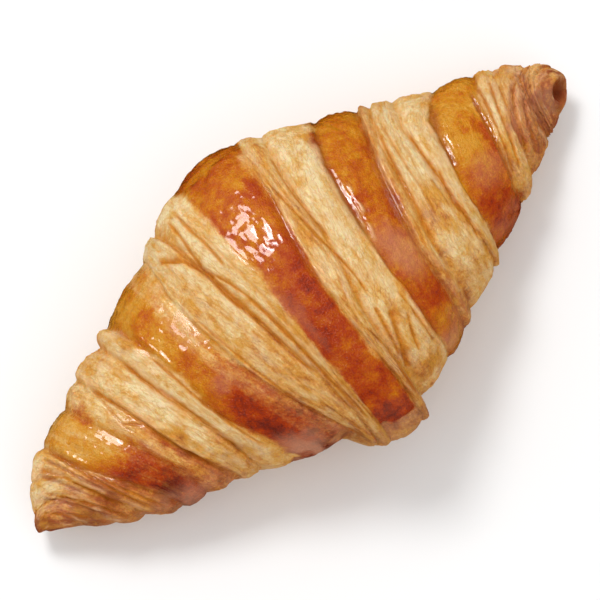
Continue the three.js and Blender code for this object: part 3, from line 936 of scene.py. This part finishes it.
# closes a tip with one face over its last ring
def closeTip(mesh, corners):
    work = bmesh.new()
    work.from_mesh(mesh)
    work.verts.ensure_lookup_table()
    work.faces.new([work.verts[k] for k in corners]).smooth = True
    work.to_mesh(mesh)
    work.free()


def buildCrust(settings):
    pieces = []
    start = crest[0]
    for stretch in settings["stretches"]:
        end = lineAt(stretch["to"]) + stretch["by"]
        pieces.append(buildStretch(settings, stretch["name"], start, end))
        start = end
    return pieces


crustPieces = buildCrust(crust)
print("crust built,", sum(len(piece.data.polygons) for piece in crustPieces), "faces")


# sRGB hex to the linear colour that the nodes want
def hexColour(text):
    channels = [int(text[k:k + 2], 16) / 255 for k in (1, 3, 5)]
    return [c / 12.92 if c <= 0.04045 else ((c + 0.055) / 1.055) ** 2.4 for c in channels] + [1]


# adds a node with its settings and inputs: values, sockets, or nodes, of which it takes the first output
def addNode(tree, kind, inputs=(), **settings):
    node = tree.nodes.new("ShaderNode" + kind)
    for key, value in settings.items():
        setattr(node, key, value)
    for key, value in inputs.items() if isinstance(inputs, dict) else enumerate(inputs):
        if isinstance(value, bpy.types.Node):
            value = value.outputs[0]
        if isinstance(value, bpy.types.NodeSocket):
            tree.links.new(value, node.inputs[key])
        else:
            node.inputs[key].default_value = value
    return node


def fillRamp(node, stops):
    ramp = node.color_ramp
    while len(ramp.elements) > 1:
        ramp.elements.remove(ramp.elements[0])
    ramp.elements[0].position = stops[0][0]
    ramp.elements[0].color = hexColour(stops[0][1])
    for place, colour in stops[1:]:
        ramp.elements.new(place).color = hexColour(colour)


# baked, laminated dough. The egg wash has dried to a glossy amber skin on the bands. Where layers
# came out from under it, the bare dough is pale, satin and grainy, with butter-soaked ochre in its folds
crustLook = {
    "washed": [(0.0, "#e3ae58"), (0.18, "#db9a34"), (0.34, "#d58818"), (0.5, "#c96a0a"),
               (0.64, "#b94e0c"), (0.78, "#ac3608"), (0.9, "#8e2c12"), (1.0, "#742414")],
    "bare": [(0.0, "#f5daa4"), (0.18, "#edc682"), (0.36, "#e6ae60"), (0.52, "#dd9c50"), (0.66, "#d08644"),
             (0.82, "#bc6c38"), (1.0, "#a0562c")],
    "film": "#fae4b4",
    "filmShare": 0.8,
    "butter": "#dd9a30",
    "butterShare": 0.8,
    "bareCrease": "#de9228",
    "washedCrease": "#a24a12",
    "creaseShare": 0.95,
    # painted shade deep in creases, burnt lines and painted shade in the end holes, painted glints on
    # rims, and dull wash with a painted sheen
    "tints": {"deepShade": (0.5, "#c87216"), "scorchAndHoleShade": (0.88, "#963c1c"), "rimGlint": (0.62, "#f6c490"),
              "dullAndSheen": (0.66, "#cf9674")},
    # how far each pattern moves the browning, everywhere and on the bare dough alone
    "browning": {"broad": 0.15, "blotch": 0.1, "grain": 0.08},
    "bareBrowning": {"crumple": 0.12, "streak": 0.22, "blotch": 0.07},
    # how many to a metre, or to a millimetre along and round the dough
    "patterns": {
        "broad": {"perMetre": 140.0, "detail": 3.0, "roughness": 0.6},  # patches of 7 mm
        "butter": {"perMetre": 150.0, "detail": 4.0, "roughness": 0.55},  # patches of 7 mm
        "blotch": {"perMetre": 500.0, "detail": 3.0, "roughness": 0.65},  # 2 mm
        "grain": {"perMetre": 2400.0, "detail": 2.0, "roughness": 0.6},  # pores of 0.4 mm
        "crumple": {"perMm": (1.6, 0.95, 0.95), "detail": 4.0, "roughness": 0.65,
                    "warp": 0.8},  # 0.6 by 1 mm
        "streak": {"perMm": (0.48, 0.08, 0.08), "detail": 3.0, "roughness": 0.6},  # 2 by 12 mm
        "film": {"perMm": (0.4, 0.14, 0.14), "detail": 4.0, "roughness": 0.55,
                 "warp": 0.4},  # 2.5 by 7 mm
        "layering": {"perMm": (0.5, 0.08, 0.08), "detail": 2.5, "roughness": 0.55},  # 2 by 12 mm
        "wrinkle": {"perMm": (1.1, 0.3, 0.3), "detail": 2.5, "roughness": 0.55},  # 1 by 3 mm
    },
    "washedRoughness": 0.25,
    "bareRoughness": 0.46,
    "coatRoughness": 0.12,
    "ior": 1.45,
    "bumpDepth": 0.0012,
    "scatter": 0.35,  # light spreads a little in the bare dough
    "scatterDepth": 0.0012,
}


# thin lines, where a pattern passes its middle value
def thinLines(tree, pattern, width, strength):
    away = addNode(tree, "Math", [pattern, 0.5], operation="SUBTRACT")
    away = addNode(tree, "Math", [away], operation="ABSOLUTE")
    return addNode(tree, "MapRange", [away, 0.0, width, strength, 0.0])


def bakedCrust(look):
    material = bpy.data.materials.new("bakedLaminatedDough")
    material.use_nodes = True
    tree = material.node_tree
    tree.nodes.clear()
    field = {}
    for name in ("wash", "stain", "bake", "crease", "scorchAndHoleShade", "rimGlint", "valley", "dullAndSheen"):
        field[name] = addNode(tree, "Attribute", attribute_name=name).outputs["Fac"]
    dough = addNode(tree, "Attribute", attribute_name="dough").outputs["Vector"]
    place = addNode(tree, "TexCoord").outputs["Object"]
    pattern = {}
    for name, made in look["patterns"].items():
        sizes = place
        if "perMm" in made:
            sizes = addNode(tree, "VectorMath", [dough, made["perMm"]], operation="MULTIPLY")
        pattern[name] = addNode(tree, "TexNoise", {
            "Vector": sizes, "Scale": made.get("perMetre", 1.0), "Detail": made["detail"],
            "Roughness": made["roughness"], "Distortion": made.get("warp", 0.0)})

    # the wash ends in a ragged line, and where it is thin it lies in streaks
    uneven = addNode(tree, "Math", [pattern["crumple"], pattern["streak"]], operation="ADD")
    uneven = addNode(tree, "MapRange", [uneven, 0.7, 1.3, -0.2, 0.2])
    wash = addNode(tree, "Math", [field["wash"], uneven], operation="ADD")
    wash = addNode(tree, "MapRange", [wash, 0.1, 0.8, 0.0, 1.0], interpolation_type="SMOOTHSTEP")
    bare = addNode(tree, "Math", [1.0, wash], operation="SUBTRACT")

    # uneven browning
    level = field["bake"]
    for reaches, where in ((look["browning"], 1.0), (look["bareBrowning"], bare)):
        for name, reach in reaches.items():
            change = addNode(tree, "MapRange", [pattern[name], 0.32, 0.68, -reach, reach])
            level = addNode(tree, "Math", [change, where, level], operation="MULTIPLY_ADD")
    ramp = {}
    for name in ("washed", "bare"):
        ramp[name] = addNode(tree, "ValToRGB", {"Fac": level})
        fillRamp(ramp[name], look[name])

    # butter soaked into the bare dough and its folds, and thin egg wash that ran over the bands' edges
    butter = addNode(tree, "MapRange", [pattern["butter"], 0.46, 0.66, 0.0, look["butterShare"]])
    butter = addNode(tree, "Math", [butter, field["valley"]], operation="MAXIMUM")
    stained = addNode(tree, "Math", [field["stain"], pattern["streak"]], operation="MULTIPLY")
    stained = addNode(tree, "Math", [stained, 1.8], operation="MULTIPLY")
    butter = addNode(tree, "Math", [butter, stained], operation="MAXIMUM", use_clamp=True)
    # dry pale film on it, less where it browned
    film = addNode(tree, "MapRange", [pattern["film"], 0.42, 0.62, 0.0, look["filmShare"]])
    paler = addNode(tree, "MapRange", [field["bake"], 0.1, 0.75, 1.0, 0.1])
    film = addNode(tree, "Math", [film, paler], operation="MULTIPLY")
    colour = ramp["bare"]
    for share, over in ((butter, hexColour(look["butter"])), (film, hexColour(look["film"])),
                        (wash, ramp["washed"])):
        colour = addNode(tree, "Mix", {0: share, 6: colour, 7: over}, data_type="RGBA").outputs[2]

    # thin amber lines where the outermost layers end, and fine wrinkles of the dry film between them
    layering = thinLines(tree, pattern["layering"], 0.012, 0.5)
    wrinkle = thinLines(tree, pattern["wrinkle"], 0.05, 1.0)
    faint = addNode(tree, "Math", [wrinkle, 0.36], operation="MULTIPLY")
    line = addNode(tree, "Math", [layering, faint], operation="MAXIMUM")
    line = addNode(tree, "Math", [line, bare], operation="MULTIPLY")
    field["crease"] = addNode(tree, "Math", [field["crease"], line], operation="MAXIMUM")
    # crease tint: amber butter browned in the creases, with painted shade and a painted warm glow through
    # the thin dough there; deep creases get more painted shade
    field["deepShade"] = addNode(tree, "MapRange", [field["crease"], 0.6, 1.0, 0.0, 1.0])
    browned = addNode(tree, "MapRange", [level, 0.38, 0.8, 0.0, 0.85])
    browned = addNode(tree, "Math", [wash, browned], operation="MAXIMUM")
    bareCrease, washedCrease = hexColour(look["bareCrease"]), hexColour(look["washedCrease"])
    creases = addNode(tree, "Mix", {0: browned, 6: bareCrease, 7: washedCrease}, data_type="RGBA")
    tints = [(field["crease"], look["creaseShare"], creases.outputs[2])]
    tints += [(field[name], most, hexColour(tint)) for name, (most, tint) in look["tints"].items()]
    for where, most, tint in tints:
        share = addNode(tree, "Math", [where, most], operation="MULTIPLY")
        colour = addNode(tree, "Mix", {0: share, 6: colour, 7: tint}, data_type="RGBA").outputs[2]

    # the wash is a glossy skin, also on the rims, and less so where it dried dull
    skin = addNode(tree, "Math", [field["rimGlint"], 0.35], operation="MULTIPLY")
    skin = addNode(tree, "Math", [wash, skin], operation="MAXIMUM")
    skin = addNode(tree, "Math", [skin, field["dullAndSheen"]], operation="SUBTRACT", use_clamp=True)
    gloss = addNode(tree, "MapRange", [skin, 0.0, 1.0, look["bareRoughness"], look["washedRoughness"]])
    change = addNode(tree, "MapRange", [pattern["blotch"], 0.3, 0.7, -0.08, 0.08])
    gloss = addNode(tree, "Math", [gloss, change], operation="ADD")
    pores = addNode(tree, "Math", [pattern["grain"], 0.6], operation="MULTIPLY")
    sheets = addNode(tree, "Math", [wrinkle, -0.3, pattern["crumple"]], operation="MULTIPLY_ADD")
    height = addNode(tree, "Mix", {0: wash, 2: sheets, 3: pores}, data_type="FLOAT")
    bump = addNode(tree, "Bump", {"Height": height, "Strength": 0.7, "Distance": look["bumpDepth"]})
    scatter = addNode(tree, "Math", [bare, look["scatter"]], operation="MULTIPLY")
    shader = addNode(tree, "BsdfPrincipled", {
        "Base Color": colour, "Roughness": gloss, "IOR": look["ior"], "Normal": bump,
        "Specular IOR Level": 0.14, "Subsurface Weight": scatter,
        "Subsurface Radius": (1.0, 0.45, 0.15), "Subsurface Scale": look["scatterDepth"],
        "Coat Weight": skin, "Coat Roughness": look["coatRoughness"], "Coat IOR": 1.5})
    addNode(tree, "OutputMaterial", {"Surface": shader})
    return material


crustMaterial = bakedCrust(crustLook)
for piece in crustPieces:
    piece.data.materials.append(crustMaterial)
    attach(piece, "root")
    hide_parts("croissant")
print("crust finished")

# studio: two soft lights from behind, a dim white card in front, an even room and a pale floor
studio = {
    "floorColour": "#f4f4f4",
    "roomStrength": 0.76,
    "lights": [
        {"name": "key", "power": 4.2, "size": (0.26, 0.26), "from": (0.04, 0.5, 0.82)},
        {"name": "shine", "power": 14.0, "size": (0.84, 0.46), "from": (-0.16, 0.62, 0.72),
         "onlyGloss": True},
        {"name": "frontCard", "power": 1.0, "size": (0.8, 0.4), "from": (-0.1, -0.8, 0.36),
         "noGloss": True},
    ],
}


def addFloor(settings):
    bpy.ops.mesh.primitive_plane_add(size=6, location=(0, 0, 0))
    floor = bpy.context.object
    floor.name = "floor"
    material = bpy.data.materials.new("paleFloor")
    material.use_nodes = True
    shader = material.node_tree.nodes["Principled BSDF"]
    shader.inputs["Base Color"].default_value = hexColour(settings["floorColour"])
    shader.inputs["Roughness"].default_value = 0.8
    floor.data.materials.append(material)
    floor.visible_glossy = False  # the gloss shows the lights, not a white floor


def addLight(settings):
    data = bpy.data.lights.new(settings["name"], "AREA")
    data.energy = settings["power"]
    data.shape = "RECTANGLE"
    data.size, data.size_y = settings["size"]
    light = bpy.data.objects.new(settings["name"], data)
    bpy.context.scene.collection.objects.link(light)
    light.location = settings["from"]
    light.visible_diffuse = not settings.get("onlyGloss", False)
    light.visible_glossy = not settings.get("noGloss", False)
    aim = Vector((0, 0, 0.02)) - Vector(settings["from"])
    light.rotation_euler = aim.to_track_quat("-Z", "Y").to_euler()


def addRoom(settings):
    world = bpy.data.worlds.new("room")
    world.use_nodes = True
    background = world.node_tree.nodes["Background"]
    background.inputs["Color"].default_value = (1, 1, 1, 1)
    background.inputs["Strength"].default_value = settings["roomStrength"]
    world.cycles_visibility.glossy = False  # soft fill alone, without a bright room in the gloss
    bpy.context.scene.world = world


addFloor(studio)
for lightSettings in studio["lights"]:
    addLight(lightSettings)
addRoom(studio)
bpy.context.scene.view_settings.view_transform = "Standard"
print("studio lit")
